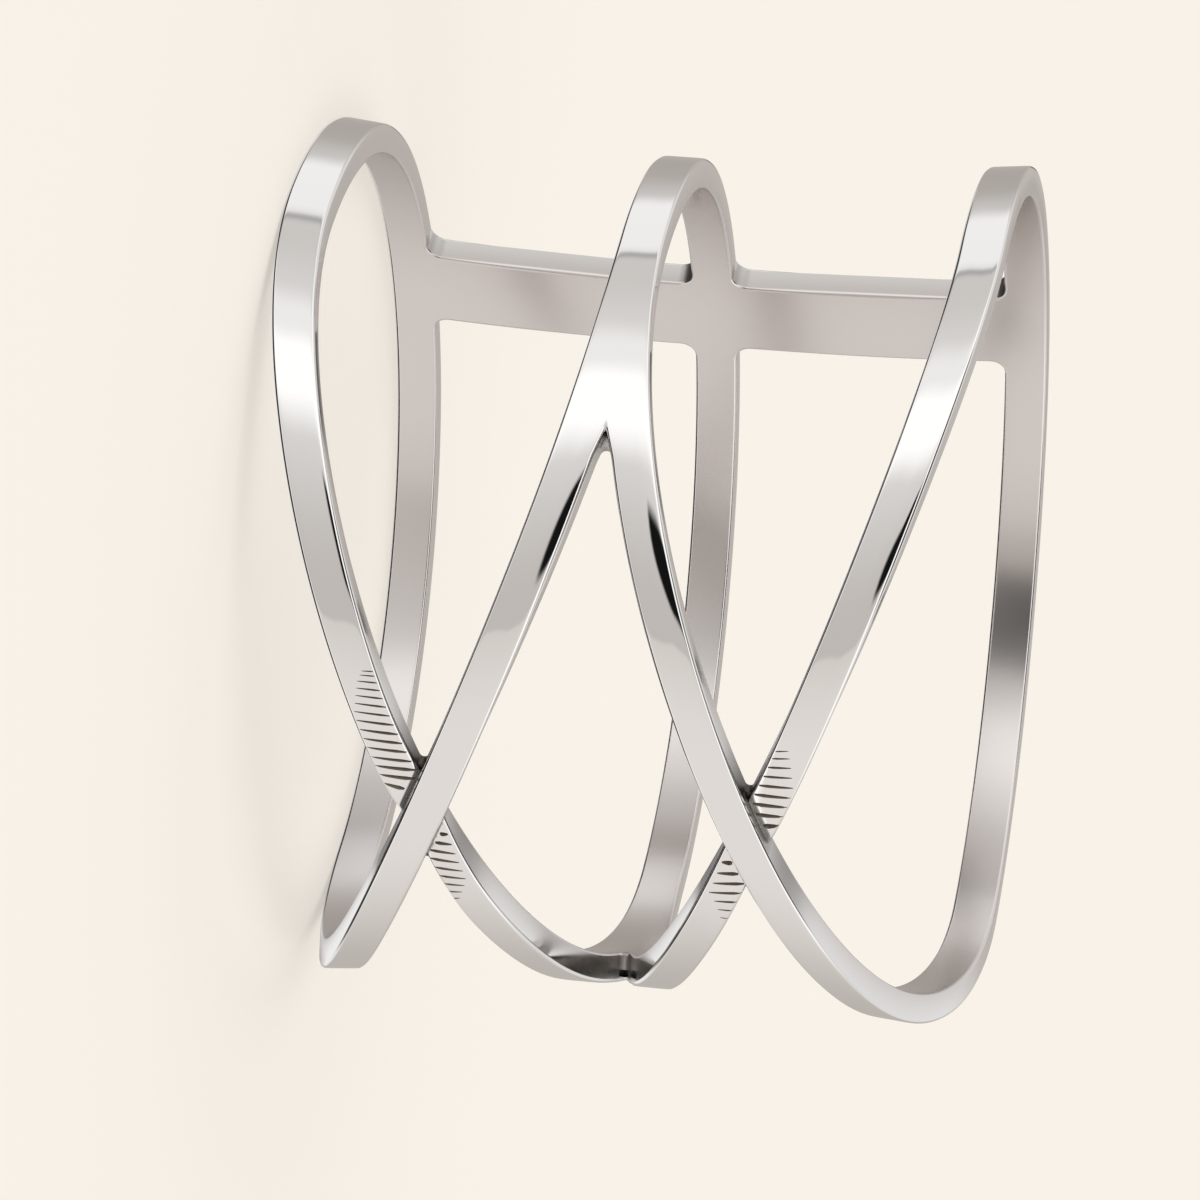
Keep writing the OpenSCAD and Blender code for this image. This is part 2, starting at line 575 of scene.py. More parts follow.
# Slope and reach of the crowns at the left and right edge of the strand that passes over
# and of the one that passes under, in the lower and in the upper half
PLAIN = (CROWN_SLOPE, CROWN_REACH)
LOWER_CROWNS = ((PLAIN, (0.25, 0.42)), (PLAIN, (0.06, 0.30)))
UPPER_CROWNS = (((0.32, 0.44), PLAIN), ((0.30, 0.42), PLAIN))
# Depth of the metal in the middle hoop's notches below the face
NOTCH_SUNK = 0.30
# The sheet's ends, in degrees from the front, on the plain hoops
SEAM = (-120.0, 240.0)
# Steps in degrees between a line's points, plain and in the stretches that bend more, and
# the distance from a fixed point within which no even one is taken
STEP = 1.5
FINE_STEP = 0.75
FINE = ((-24, 24), (48, 66), (-66, -48))
APART = 0.2
# Distance that the lower strand's lines run on below the upper strand's edge, and turn in
# degrees by which the lines at a step's foot run on past a web
TUCK = 0.02
RUN_ON = 0.5
# Halvings in the search for the place at which a line is cut
TRIM_HALVINGS = 24
# Steps in half of the round of a narrow corner, and points on each line along the bar
WEB_POINTS = 7
BAR_POINTS = 12
# Distance in millimetres below which two points are one
SAME = 0.0004
# Reach of the painted shade in a narrow corner; the buff doesn't get into the corner either, which
# leaves it rougher
SHADE_REACH = 1.1
# Share of that painted shade beside the middle hoop's notches, in the bar's fillets, and at
# the foot of the steps beside the upper strands
NOTCH_SHADE = 0.35
FILLET_SHADE = 0.4
FOOT_SHADE = 0.5
# Steepness of its fall away from a fillet's corner
FILLET_FALL = 1.2
# Least height of a step whose wall faces sideways, and least cosine between two walls that
# are one smooth wall
LEAST_STEP = 0.02
SMOOTH = 0.75


def clipped(line: Array) -> Array:
    """Bring a line's points that lie past the mirror line back to it."""
    return np.column_stack([np.minimum(line[:, 0], 0), line[:, 1]])


def within(angles: Array, one: float, other: float) -> Array:
    """Angles that lie between two others."""
    return angles[(angles > min(one, other)) & (angles < max(one, other))]


def trim(line: Array, keep: Keep) -> list[Array]:
    """Cut a line down to its stretches where a value is positive.

    Args:
        line: Points of the line.
        keep: Value at places on the sheet.

    Returns:
        The stretches, which end where the value is 0.
    """
    value = keep(line[:, 0], line[:, 1])
    parts: list[Array] = []
    current: list[Array] = []
    for i, point in enumerate(line):
        if i and (value[i] > 0) != (value[i - 1] > 0):
            low, high = (line[i - 1], point) if value[i] > 0 else (point, line[i - 1])
            for _ in range(TRIM_HALVINGS):
                middle = (low + high) / 2
                inside = keep(middle[:1], middle[1:])[0] > 0
                low, high = (low, middle) if inside else (middle, high)
            current.append(high)
            if value[i] <= 0:
                parts.append(np.array(current))
                current = []
        if value[i] > 0:
            current.append(point)
    if current:
        parts.append(np.array(current))
    return [part for part in parts if len(part) > 1]


@dataclass
class Sheet:
    """Outlines and lines to be triangulated together."""

    points: list[Vector] = field(default_factory=list)
    edges: list[tuple[int, int]] = field(default_factory=list)
    faces: list[list[int]] = field(default_factory=list)

    def add_points(self, line: Array) -> range:
        """Add a line's points, and give their numbers."""
        self.points.extend(Vector(p) for p in line)
        return range(len(self.points) - len(line), len(self.points))

    def add_line(self, line: Array, keep: Keep | None = None) -> None:
        """Add a line that the triangles have to follow.

        Args:
            line: Points of the line.
            keep: Value that is positive where the line is wanted; None wants all of it.
        """
        for part in trim(line, keep) if keep else [line]:
            numbers = self.add_points(part)
            self.edges.extend(zip(numbers, numbers[1:]))

    def add_outline(self, line: Array) -> None:
        """Add a closed outline that the sheet's metal fills.

        Args:
            line: Points of the outline, in either direction.
        """
        x, y = line[:, 0], line[:, 1]
        area = np.dot(x, np.roll(y, -1)) - np.dot(y, np.roll(x, -1))
        self.faces.append(list(self.add_points(line if area > 0 else line[::-1])))

    def triangulate(self) -> tuple[Array, Array]:
        """Cut the filled outlines into triangles.

        Returns:
            The points, and the triangles as three point numbers each, anticlockwise.
        """
        found = delaunay_2d_cdt(self.points, self.edges, self.faces, 0, SAME / 4, True)
        points = np.array([tuple(p) for p in found[0]])
        kept = [f for f, source in zip(found[2], found[5]) if source and len(f) == 3]
        tri = np.array([list(f) for f in kept])
        # Three points on the mirror line have no face between them
        tri = tri[(np.abs(points[tri][:, :, 0]) > SAME).any(axis=1)]
        a, b, c = points[tri[:, 0]], points[tri[:, 1]], points[tri[:, 2]]
        ab, ac = b - a, c - a
        area = ab[:, 0] * ac[:, 1] - ab[:, 1] * ac[:, 0]
        tri[area < 0] = tri[area < 0][:, ::-1]
        return points, tri


@dataclass
class Casting:
    """Half of the ring as a flat blank; the upper half has the lower half's outline, mirrored.

    The halves differ in one thing: the buff has crowned every strand towards the upper end
    of the ring, which is the mirrored half's other edge.
    """

    sizes: RingSizes
    upper: bool = False

    def __post_init__(self) -> None:
        """List the members of the lower half."""
        s = self.sizes
        crowns = UPPER_CROWNS if self.upper else LOWER_CROWNS
        self.b = Strand(s, -1, Level.OVER, *crowns[0])
        self.a = Strand(s, 1, Level.UNDER, *crowns[1], over=self.b)
        self.bar = Bar(s)
        self.fillets = [self.fillet(end, side) for end in (0, 1) for side in (0, 1)]
        window = solve(lambda a: float(s.gap_half(a)), 0, 90)
        diamond = solve(lambda a: -float(s.diamond_half(a)), *NOTCH_BETWEEN)
        # A window's web starts where the rounding of the lower strand's edge ends
        self.webs = [
            Web(s, way * tip, half, mid, radius, sunk, host)
            for way in (1, -1)
            for tip, half, mid, radius, sunk, host in (
                (window, s.gap_half, s.gap_mid, s.window_r, EDGE_DROP, self.a),
                (diamond, s.diamond_half, np.zeros_like, s.notch_r, NOTCH_SUNK,
                 self.b if way > 0 else self.a))]
        self.members: list[Member] = [self.a, self.b, self.bar, *self.fillets, *self.webs]
        self.angles, self.sheet = self.stations(), Sheet()

    def fillet(self, end: int, side: int) -> Fillet:
        """Make the fillet at one end and one side of the bar.

        Args:
            end: 0 for the end hoop, 1 for the middle hoop.
            side: 0 for the bar's side at the smaller angle, 1 for the other.

        Returns:
            The fillet.
        """
        r = self.sizes.bar_fillet
        toward = (-1 if end == 0 else 1, 1 if side == 0 else -1)
        x, y = self.bar.ends[end], self.bar.sides[side]
        return Fillet((x - toward[0] * r, y - toward[1] * r), r, toward)

    def stations(self) -> Array:
        """Angles at which the bands' lines have their points.

        Returns:
            The angles from one end of the sheet to the other, in degrees.
        """
        s = self.sizes
        bar = [s.angle(y) for y in self.bar.sides]
        turns = [s.angle(f.centre[1]) for f in self.fillets[:2]]
        fixed = [*SEAM, -90.0, 0.0, 90.0, *bar, *turns]
        for web in self.webs:
            fixed += [web.tip, web.touch, (web.tip + web.touch) / 2]
        even = np.arange(SEAM[0], SEAM[1] + STEP / 2, STEP)
        fine = [np.arange(low, high, FINE_STEP) for low, high in FINE]
        free = np.unique(np.round(np.concatenate([even, *fine]), 4))
        fixed = np.array(sorted(float(a) for a in fixed))
        far = np.abs(free[:, None] - fixed[None, :]).min(axis=1) > APART
        return np.sort(np.concatenate([free[far], fixed]))

    def half_sheet(self) -> Sheet:
        """Lay out the lower half.

        Returns:
            The sheet with the half's outlines and lines.
        """
        for strand in (self.a, self.b):
            left, right = (strand.row(self.angles, side, 0) for side in (-1, 1))
            self.sheet.add_outline(np.concatenate([left, clipped(right[::-1])]))
            # No line of the lower strand runs on under the upper one
            free = None if strand.level is Level.OVER else (
                lambda x, y: TUCK - self.b.inset(x, y))
            for side, d in [(side, d) for side in (-1, 1) for d in ROWS[1:]] + [(0, 0)]:
                for part in trim(strand.row(self.angles, side, d), lambda x, y: SAME - x):
                    self.sheet.add_line(clipped(part), free)
        self.lay_steps()
        self.lay_bar()
        for web in self.webs:
            self.lay_web(web)
        return self.sheet

    def lay_steps(self) -> None:
        """Add the foot of the steps beside upper edges, and the lines of the scoops."""
        add_line = self.sheet.add_line
        for side in (-1, 1):
            near = within(self.angles, -side * (self.webs[0].touch + RUN_ON), side * RUN_ON)
            add_line(self.b.row(near, side, -FOOT))
            for d in SCOOP_ROWS if side < 0 else ():
                add_line(self.b.row(within(self.angles, *FINE[0]), side, d), self.a.inset)
        for web, strand in ((self.webs[1], self.b), (self.webs[3], self.a)):
            past = web.opens * RUN_ON
            near = within(self.angles, web.tip - past, web.touch + past)
            add_line(strand.row(near, 1, -FOOT), lambda x, y: -x)

    def lay_bar(self) -> None:
        """Add the bar with its fillets."""
        (x0, x1), (y0, y1) = self.bar.ends, self.bar.sides
        self.sheet.add_outline(np.array([(x0, y0), (x1, y0), (x1, y1), (x0, y1)]))
        r = self.sizes.bar_fillet
        for d in ROWS[1:]:
            for y in (y0 + d, y1 - d):
                x = np.linspace(x0 + r, x1 - r, BAR_POINTS)
                self.sheet.add_line(np.column_stack([x, np.full_like(x, y)]))
        for fillet in self.fillets:
            x = x0 if fillet.toward[0] < 0 else x1
            y = y0 if fillet.toward[1] > 0 else y1
            self.sheet.add_outline(np.concatenate([fillet.arc(0), [(x, y)]]))
            for d in ROWS[1:]:
                self.sheet.add_line(fillet.arc(d))

    def lay_web(self, web: Web) -> None:
        """Add the metal in a narrow corner.

        Args:
            web: The corner's web.
        """
        slack = web.opens * 1e-6
        near = within(self.angles, web.tip - slack, web.touch + slack)[::int(web.opens)]
        left, right = (np.column_stack([web.mid(near) + way * web.half(near),
                                        self.sizes.along(near)]) for way in (-1, 1))
        (cx, cy), r = web.centre, web.radius
        # The arc runs over its narrow side, through the direction of the tip
        way = -web.opens * math.pi / 2
        turns = [(math.atan2(edge[-1, 1] - cy, edge[-1, 0] - cx) - way + math.pi)
                 % (2 * math.pi) - math.pi for edge in (left, right)]
        bend = np.linspace(*turns, 2 * WEB_POINTS + 1) + way
        # The diamond's webs lie on the mirror line, so only their lower half is laid
        whole = web.half == self.sizes.gap_half
        if not whole:
            bend = bend[:WEB_POINTS + 1]
        arcs = [np.column_stack([cx + (r + d) * np.cos(bend), cy + (r + d) * np.sin(bend)])
                for d in ROWS[:3]]
        rest = [arcs[0][1:-1], right[::-1][:-1]] if whole else [arcs[0][1:]]
        self.sheet.add_outline(clipped(np.concatenate([left, *rest])))
        for row in arcs[1:]:
            self.sheet.add_line(clipped(row))

    def blank(self) -> "Blank":
        """Cut, emboss and close the whole blank.

        Returns:
            The blank's closed mesh, still flat.
        """
        points, top = self.half_sheet().triangulate()
        lower, upper = (Blank.emboss(casting, points, top)
                        for casting in (self, Casting(self.sizes, upper=True)))
        return lower.join(upper.mirrored())


def unit(vectors: Array) -> Array:
    """Bring vectors to length 1."""
    return vectors / np.maximum(np.linalg.norm(vectors, axis=-1, keepdims=True), 1e-9)


@dataclass
class Blank:
    """The flat blank as a closed mesh, with the facing of every corner of every face."""

    points: Array
    faces: list[list[int]]
    facing: list[Array]
    inner: Array
    corner_shade: Array

    @staticmethod
    def emboss(casting: Casting, points: Array, top: Array) -> "Blank":
        """Give a half's sheet its top, its underside and its walls.

        Args:
            casting: The casting, which knows the members' heights.
            points: Points of the lower half's sheet.
            top: Its triangles.

        Returns:
            The half blank, as a lower half.
        """
        t = casting.sizes.metal_t
        x, y = points[:, 0], points[:, 1]
        insets = np.array([m.inset(x, y) for m in casting.members])
        drop = np.min([m.depth(x, y) for m in casting.members], axis=0)
        face = np.array([unit(m.facing(x, y)) for m in casting.members])
        on_mirror = np.abs(x) < SAME
        face[:, on_mirror, 0] = 0
        centre = points[top].mean(axis=1)
        # The highest member at a face's centre owns it, first of all one that holds it whole
        whole = (insets[:, top] > -NEAR).all(axis=2)
        owner = np.argmin([m.depth(*centre.T) + np.where(all_in, 0, t)
                           for m, all_in in zip(casting.members, whole)], axis=0)
        edge = np.clip(1 - np.maximum(insets.max(axis=0), 0) / EDGE_R, 0, 1)
        under = EDGE_R * (1 - np.sqrt(1 - edge ** 2))
        aside = np.array([m.outward(x, y) for m in casting.members])
        pull = aside[insets.argmax(axis=0), np.arange(len(x))]
        down = np.column_stack([unit(pull) * edge[:, None], -np.sqrt(1 - edge ** 2)])
        down[on_mirror, 0] = 0
        down = unit(down)

        n = len(points)
        space = np.concatenate([np.column_stack([points, t - drop]),
                                np.column_stack([points, under])])
        faces = [list(f) for f in top] + [list(f[::-1] + n) for f in top]
        facing = [unit(face[o, f]) for o, f in zip(owner, top)] + [down[f[::-1]] for f in top]
        Blank.stand_steps(casting, points, top, facing)
        walls = Blank.walls(casting, points, top)
        for (i, j), (at_i, at_j) in walls:
            faces.append([j, i, i + n, j + n])
            facing.append(np.array([at_j, at_i, at_i, at_j]))

        at_edge = insets.max(axis=0) < SAME
        # Painted shade, which also roughens: strongest at a window's tip, weaker at the notches
        # and the bar's fillets, and along the foot of each step beside an upper strand
        corner_shade = np.zeros(n)
        for web in casting.webs:
            tip = web.mid(np.array([web.tip]))[0], casting.sizes.along(web.tip)
            near = np.exp(-(np.hypot(x - tip[0], y - tip[1]) / SHADE_REACH) ** 2)
            near *= 1.0 if web.half == casting.sizes.gap_half else NOTCH_SHADE
            on_web = (web.inset(x, y) > -NEAR) & (drop > web.lowered(x, y) - NEAR)
            corner_shade = np.maximum(corner_shade, np.where(at_edge | on_web, near, 0))
        for fillet in casting.fillets:
            corner = np.array(fillet.centre) + np.array(fillet.toward) * fillet.radius
            off = np.hypot(x - corner[0], y - corner[1]) / fillet.radius
            near = FILLET_SHADE * np.clip(FILLET_FALL * (1 - off ** 2), 0, 1)
            corner_shade = np.maximum(corner_shade, np.where(at_edge, near, 0))
        foot = casting.b.inset(x, y)
        at_foot = (foot < SAME) & (foot > -FOOT - SAME) & (casting.a.inset(x, y) > -NEAR)
        top_corner_shade = np.where(at_foot, np.maximum(FOOT_SHADE, corner_shade), corner_shade)
        inner = np.concatenate([np.zeros(n), np.ones(n)])
        return Blank(space, faces, facing, inner, np.concatenate([top_corner_shade, corner_shade]))

    def mirrored(self) -> "Blank":
        """Turn a lower half into an upper half."""
        flip = np.array([-1.0, 1.0, 1.0])
        return Blank(self.points * flip, [f[::-1] for f in self.faces],
                     [corner[::-1] * flip for corner in self.facing], self.inner, self.corner_shade)

    def join(self, other: "Blank") -> "Blank":
        """Put two halves into one blank."""
        count = len(self.points)
        return Blank(np.concatenate([self.points, other.points]),
                     self.faces + [[k + count for k in f] for f in other.faces],
                     self.facing + other.facing, np.concatenate([self.inner, other.inner]),
                     np.concatenate([self.corner_shade, other.corner_shade]))

    @staticmethod
    def stand_steps(casting: Casting, points: Array, top: Array, facing: list[Array]) -> None:
        """Turn the narrow faces beside an upper edge to face sideways, as a wall does.

        Args:
            casting: The casting.
            points: Points of the sheet.
            top: Its triangles.
            facing: Corner directions, changed in place.
        """
        cx, cy = points[top].mean(axis=1).T
        for strand in (casting.a, casting.b):
            lower = np.min([m.depth(cx, cy) for m in casting.members if m is not strand], axis=0)
            d = strand.inset(cx, cy)
            step = lower > strand.lowered(cx, cy) + EDGE_DROP + LEAST_STEP
            for i in np.flatnonzero((d < -SAME / 4) & (d > -FOOT) & step):
                x, y = points[top[i], 0], points[top[i], 1]
                facing[i] = np.column_stack([strand.outward(x, y), np.zeros(3)])

    @staticmethod
    def walls(casting: Casting, points: Array, top: Array) -> list[tuple]:
        """Find the sheet's open edges and the facing of the walls that stand on them.

        Args:
            casting: The casting.
            points: Points of the sheet.
            top: Its triangles.

        Returns:
            For each wall its two points, and the facing at each.
        """
        there = {(int(face[k - 1]), int(face[k])) for face in top for k in range(3)}
        low, high = (float(casting.sizes.along(a)) for a in SEAM)
        x, y = points[:, 0], points[:, 1]

        def open_end(i: int, j: int) -> bool:
            """Tell the mirror line and the seam from a real edge."""
            return any(abs(c[i] - v) < SAME and abs(c[j] - v) < SAME
                       for c, v in ((x, 0.0), (y, low), (y, high)))

        edges = sorted((i, j) for i, j in there if (j, i) not in there and not open_end(i, j))
        flat = {(i, j): unit((points[j] - points[i])[::-1] * (1, -1)) for i, j in edges}
        meet: dict[int, list[tuple[int, int]]] = {}
        for edge in edges:
            for i in edge:
                meet.setdefault(i, []).append(edge)

        def at(i: int, edge: tuple[int, int]) -> Array:
            """Facing of a wall at one end, shared with a neighbour that turns little.

            Args:
                i: Number of the point at that end.
                edge: The wall's points.

            Returns:
                The direction, level with the sheet.
            """
            near = [flat[e] for e in meet[i] if float(flat[e] @ flat[edge]) > SMOOTH]
            mean = unit(np.sum(near, axis=0))
            if abs(x[i]) < SAME:
                mean = unit(np.array([0.0, mean[1]]))
            return np.array([*mean, 0.0])

        return [(edge, (at(edge[0], edge), at(edge[1], edge))) for edge in edges]

    def wrapped_facing(self, sizes: RingSizes) -> Array:
        """Carry the corners' facing round the finger hole.

        Args:
            sizes: The ring's sizes.

        Returns:
            One unit vector for each corner, in the order of the faces.
        """
        corner = np.concatenate([np.array(f) for f in self.faces])
        n = np.concatenate(self.facing)
        x, y, z = self.points[corner].T
        out = np.maximum(0, np.abs(x) - sizes.waist_half) / (sizes.pitch - sizes.waist_half)
        radius = sizes.bore_r + sizes.flare * out ** 2 + z
        slant = 2 * sizes.flare * out / (sizes.pitch - sizes.waist_half) * np.sign(x)
        a = y / sizes.face_r
        along = n[:, 1] * sizes.face_r / radius
        zero = np.zeros_like(a)
        turn = np.column_stack([-np.cos(a), np.sin(a), zero])
        rise = np.column_stack([-np.sin(a), -np.cos(a), zero])
        axis = np.array([0.0, 0.0, 1.0])
        return unit(turn * along[:, None] + axis * (n[:, 0] - slant * n[:, 2])[:, None]
                    + rise * n[:, 2:])

    def to_object(self, name: str, sizes: RingSizes) -> bpy.types.Object:
        """Make the flat blank an object whose corners carry their wrapped facing.

        Args:
            name: Name of the object.
            sizes: The ring's sizes.

        Returns:
            The object, linked to the scene.
        """
        mesh = bpy.data.meshes.new(name)
        mesh.from_pydata(self.points.tolist(), [], self.faces)
        mesh.shade_smooth()
        store = mesh.attributes.new(FACING, "FLOAT_VECTOR", "CORNER")
        store.data.foreach_set("vector", self.wrapped_facing(sizes).astype(np.float32).ravel())
        for label, values in ((INNER, self.inner), (CORNER_SHADE, self.corner_shade)):
            store = mesh.attributes.new(label, "FLOAT", "POINT")
            store.data.foreach_set("value", values.astype(np.float32))
        return link(bpy.data.objects.new(name, mesh))


# Objects and node trees

# Attributes of the mesh: its corners' facing, how far inside the ring a point lies, and
# how much painted shade it gets in a narrow corner
FACING = "facing"
INNER = "inner"
CORNER_SHADE = "corner_shade"
# Kinds of node that are used often
MATH = "ShaderNodeMath"
VECTOR_MATH = "ShaderNodeVectorMath"
SPLIT = "ShaderNodeSeparateXYZ"
COMBINE = "ShaderNodeCombineXYZ"
MAP_RANGE = "ShaderNodeMapRange"
MIX = "ShaderNodeMix"
NOISE = "ShaderNodeTexNoise"
PLACE = "GeometryNodeInputPosition"
MOVE = "GeometryNodeSetPosition"
REALIZE = "GeometryNodeRealizeInstances"
# Inputs of the wrap, and the sizes that they take
WRAP = {"Bore Radius": "bore_r", "Face Radius": "face_r", "Waist": "waist_half",
        "Flare": "flare", "Pitch": "pitch", "Half Length": "half_len"}


def link(obj: bpy.types.Object) -> bpy.types.Object:
    """Put an object in the scene."""
    bpy.context.scene.collection.objects.link(obj)
    return obj


def add_node(tree: Any, kind: str, *inputs: Any, **settings: Any) -> Any:
    """Add a node with its settings and links.

    Args:
        tree: Tree to add to.
        kind: Type name of the node.
        inputs: For each input in order a value, or an output or node to link; a
            dictionary gives inputs by name or number.
        settings: Properties of the node.

    Returns:
        The node.
    """
    node = tree.nodes.new(kind)
    for name, value in settings.items():
        setattr(node, name, value)
    pairs: list[tuple[Any, Any]] = []
    for position, value in enumerate(inputs):
        pairs += value.items() if isinstance(value, dict) else [(position, value)]
    for key, value in pairs:
        if isinstance(value, bpy.types.Node):
            value = value.outputs[0]
        if isinstance(value, bpy.types.NodeSocket):
            tree.links.new(value, node.inputs[key])
        else:
            node.inputs[key].default_value = value
    return node


def new_tree(name: str, **inputs: tuple[str, ...]) -> tuple[Any, dict[str, Any]]:
    """Start a geometry tree with named inputs.

    Args:
        name: Name of the tree.
        inputs: Names of the inputs, by their kind of socket.

    Returns:
        The tree, and its inputs' sockets by name.
    """
    tree = bpy.data.node_groups.new(name, "GeometryNodeTree")
    for kind, labels in inputs.items():
        for label in labels:
            tree.interface.new_socket(label, in_out="INPUT", socket_type="NodeSocket" + kind)
    tree.interface.new_socket("Geometry", in_out="OUTPUT", socket_type="NodeSocketGeometry")
    return tree, dict(add_node(tree, "NodeGroupInput").outputs.items())


def finish_tree(tree: Any, geometry: Any, material: Any) -> Any:
    """End a tree in real geometry with its material.

    Args:
        tree: Tree to end.
        geometry: Output with the geometry.
        material: Output with the material.

    Returns:
        The tree.
    """
    dressed = add_node(tree, "GeometryNodeSetMaterial", {
        "Geometry": add_node(tree, REALIZE, geometry), "Material": material})
    add_node(tree, "NodeGroupOutput", dressed)
    return tree


def run_tree(obj: bpy.types.Object, tree: Any, values: dict[str, Any]) -> bpy.types.Mesh:
    """Run a tree on an object and take the result as a plain mesh.

    Args:
        obj: Object to run on.
        tree: Geometry tree.
        values: Values of its inputs by name.

    Returns:
        The new mesh.
    """
    modifier = obj.modifiers.new(tree.name, "NODES")
    modifier.node_group = tree
    for item in tree.interface.items_tree:
        if item.in_out == "INPUT" and item.name in values:
            modifier[item.identifier] = values[item.name]
    return bake(obj)


def bake(obj: bpy.types.Object) -> bpy.types.Mesh:
    """Take an object with its modifiers as a plain mesh, and remove the modifiers.

    Args:
        obj: Object to take.

    Returns:
        The new mesh.
    """
    graph = bpy.context.evaluated_depsgraph_get()
    mesh = bpy.data.meshes.new_from_object(obj.evaluated_get(graph),
                                           preserve_all_data_layers=True, depsgraph=graph)
    obj.modifiers.clear()
    return mesh


def wrap_values(sizes: RingSizes) -> dict[str, float]:
    """Values of the wrap's inputs for a ring."""
    return {label: getattr(sizes, name) for label, name in WRAP.items()}


def wrap(tree: Any, geometry: Any, at: dict[str, Any]) -> Any:
    """Add the nodes that wrap flat geometry round the finger hole.

    Args:
        tree: Tree to add to.
        geometry: Output with the flat geometry.
        at: The tree's inputs by name.

    Returns:
        Node with the wrapped geometry.
    """
    add = partial(add_node, tree)
    x, y, z = add(SPLIT, add(PLACE)).outputs
    beyond = add(MATH, add(MATH, x, operation="ABSOLUTE"), at["Waist"], operation="SUBTRACT")
    span = add(MATH, at["Pitch"], at["Waist"], operation="SUBTRACT")
    share = add(MATH, add(MATH, beyond, 0.0, operation="MAXIMUM"), span, operation="DIVIDE")
    square = add(MATH, share, 2.0, operation="POWER")
    grown = add(MATH, square, at["Flare"], z, operation="MULTIPLY_ADD")
    radius = add(MATH, grown, at["Bore Radius"], operation="ADD")
    back = add(MATH, radius, -1.0, operation="MULTIPLY")
    turn = add(MATH, y, at["Face Radius"], operation="DIVIDE")
    aside, rise = (add(MATH, back, add(MATH, turn, operation=part), operation="MULTIPLY")
                   for part in ("SINE", "COSINE"))
    wrapped = add(COMBINE, aside, rise, add(MATH, x, at["Half Length"], operation="ADD"))
    return add(MOVE, {"Geometry": geometry, "Position": wrapped})


def wrap_tree() -> Any:
    """Build the tree that wraps the blank, closes its seams and gives it its metal."""
    tree, at = new_tree("Wrap", Geometry=("Geometry",), Float=(*WRAP, "Same Point"),
                        Material=("Material",))
    return finish_tree(tree, add_node(tree, "GeometryNodeMergeByDistance", {
        "Geometry": wrap(tree, at["Geometry"], at), "Distance": at["Same Point"]}),
        at["Material"])


# Engraved lines

# Points on each rail of a row of engraved lines
RAIL_POINTS = 256
# Share of a stroke's length before its end from which it no longer gets finer
FINEST = 0.02
# Height above the sheet from which rays look for its face
LOOK_FROM = 5.0


@dataclass(frozen=True)
class HatchRow:
    """A row of lines that the engraver cut across a lower strand, beside its crossing.

    The rails give where lines start and where they run out: the share of the strand's
    half width at an angle, from -1 at the left edge to 1 at the right edge. The sizes are
    those of the first and last line, as shares of the full width and depth, and the slants
    are how many degrees further round the ring those lines run out than they start.
    """

    name: str
    upper: bool
    count: int
    crowding: float
    near: tuple[tuple[float, float], ...]
    far: tuple[tuple[float, float], ...]
    sizes: tuple[float, float]
    slants: tuple[float, float]
    width: float = 0.10
    depth: float = 0.055
    taper: float = 0.35
    unevenness: float = 0.2

    def rails(self, strand: Strand) -> bpy.types.Object:
        """Draw both rails on the flat sheet.

        Args:
            strand: The lower strand, which the row is cut in.

        Returns:
            An object with the near rail's points and then the far rail's.
        """
        angles = np.linspace(self.near[0][0], self.near[-1][0], RAIL_POINTS)
        points = []
        slant = np.linspace(*self.slants, RAIL_POINTS)
        for rail, turn in ((self.near, -slant / 2), (self.far, slant / 2)):
            at, share = np.array(sorted(rail)).T
            share = np.interp(angles, at, share)
            x = strand.middle(angles + turn) + share * strand.sizes.reach(angles)
            x = -x if self.upper else x
            points += [(px, py, 0.0) for px, py in zip(x, strand.sizes.along(angles + turn))]
        mesh = bpy.data.meshes.new(self.name)
        mesh.from_pydata(points, [], [])
        return link(bpy.data.objects.new(self.name, mesh))

    def values(self) -> dict[str, Any]:
        """Values of the tree's inputs for this row."""
        first, last = self.sizes
        return {"Count": self.count, "Crowding": self.crowding, "Width": self.width,
                "Depth": self.depth, "First Size": first, "Last Size": last,
                "Taper": self.taper, "Unevenness": self.unevenness}


HATCHING = (
    HatchRow("hatch_lower_above", False, 15, 1.25,
             near=((21.8, 0.84), (8.3, 0.86), (6.0, 0.48), (5.0, -0.15)),
             far=((21.8, 0.30), (20.4, -0.08), (15.6, -0.82), (5.0, -0.90)),
             sizes=(0.35, 1.35), slants=(0.0, 1.1)),
    HatchRow("hatch_lower_below", False, 9, 0.95,
             near=((-2.9, 0.35), (-4.7, -0.19), (-6.5, -0.78), (-8.0, -0.90), (-14.8, -0.90)),
             far=((-2.9, 0.80), (-10.3, 0.52), (-11.8, 0.22), (-14.8, -0.52)),
             sizes=(1.5, 0.5), slants=(0.3, 0.4)),
    HatchRow("hatch_upper_above", True, 9, 1.15,
             near=((15.7, 0.80), (7.9, 0.82), (5.5, 0.30), (3.9, -0.30)),
             far=((15.7, 0.22), (13.6, -0.20), (9.7, -0.86), (3.9, -0.93)),
             sizes=(0.45, 1.6), slants=(0.3, 0.7)),
    HatchRow("hatch_upper_below", True, 7, 0.95,
             near=((-3.4, 0.22), (-4.9, -0.18), (-6.6, -0.78), (-8.0, -0.90), (-13.8, -0.90)),
             far=((-3.4, 0.75), (-9.1, 0.62), (-10.7, 0.10), (-13.8, -0.50)),
             sizes=(1.5, 0.5), slants=(0.3, 0.3)),
)


